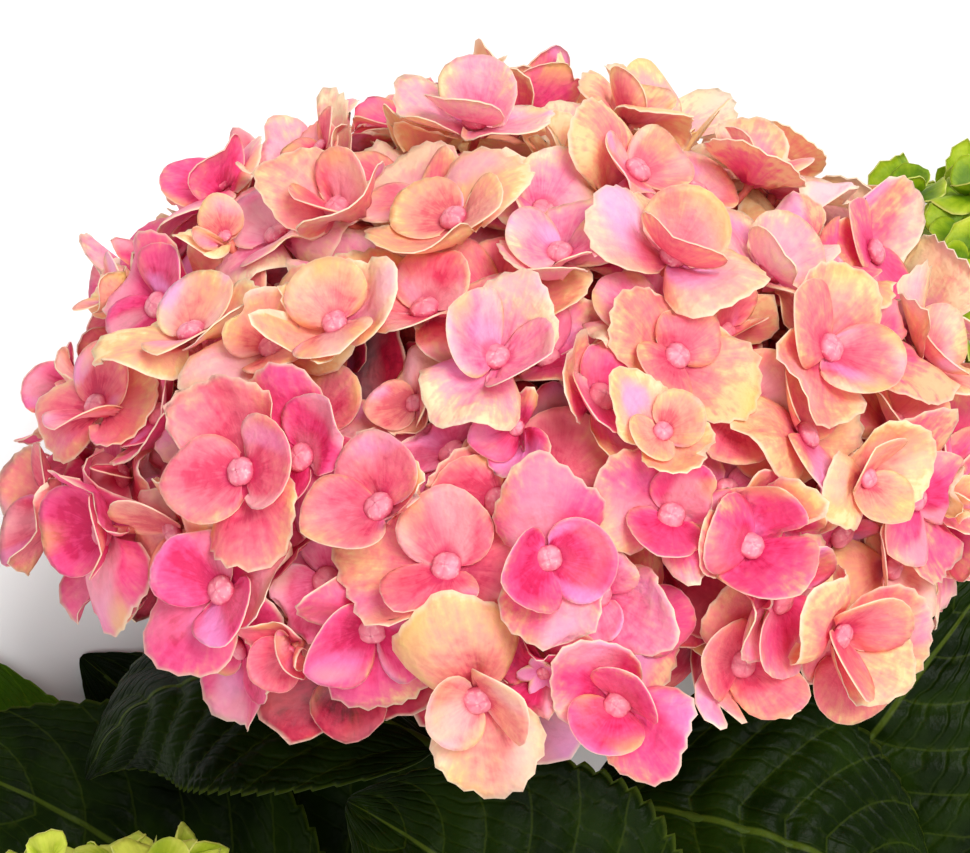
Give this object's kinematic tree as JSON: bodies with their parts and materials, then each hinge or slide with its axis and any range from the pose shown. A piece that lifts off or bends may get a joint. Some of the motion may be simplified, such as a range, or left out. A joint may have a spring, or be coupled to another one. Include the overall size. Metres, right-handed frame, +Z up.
{
  "type": "cut hydrangea branch",
  "caption": "Cut flowering branch of a mophead hydrangea, lying down: a large domed pink bloom, toothed dark leaves in pairs, and young green blooms on side shoots.",
  "frame": {"origin": "on the surface that the branch lies on, under the middle of its box", "axes": "+Y from the cut end towards the top of the pink bloom, +X to the right seen from above with the bloom at the top, +Z up"},
  "size_m": [0.2768, 0.3372, 0.1767],
  "materials": {
    "stem": "smooth green half-woody bark with small pale lenticels, reddish at the nodes",
    "leaf": "dark green, quilted between paler veins, slightly glossy",
    "pink_bloom": "soft matte petals, hot pink to coral with cream margins",
    "green_bloom": "soft matte young petals, yellow green"
  },
  "bodies": {
    "root": {"main_stem": "stem", "shoot_left": "stem", "shoot_right": "stem", "leaf_upper_left": "leaf", "leaf_upper_right": "leaf", "leaf_middle_front": "leaf", "leaf_middle_back": "leaf", "leaf_lower_left": "leaf", "leaf_lower_right": "leaf", "leaf_left_outer": "leaf", "leaf_left_inner": "leaf", "leaf_right_outer": "leaf", "leaf_right_inner": "leaf", "bloom_pink": "pink_bloom", "bloom_green_left": "green_bloom", "bloom_green_right": "green_bloom"}
  },
  "joints": []
}
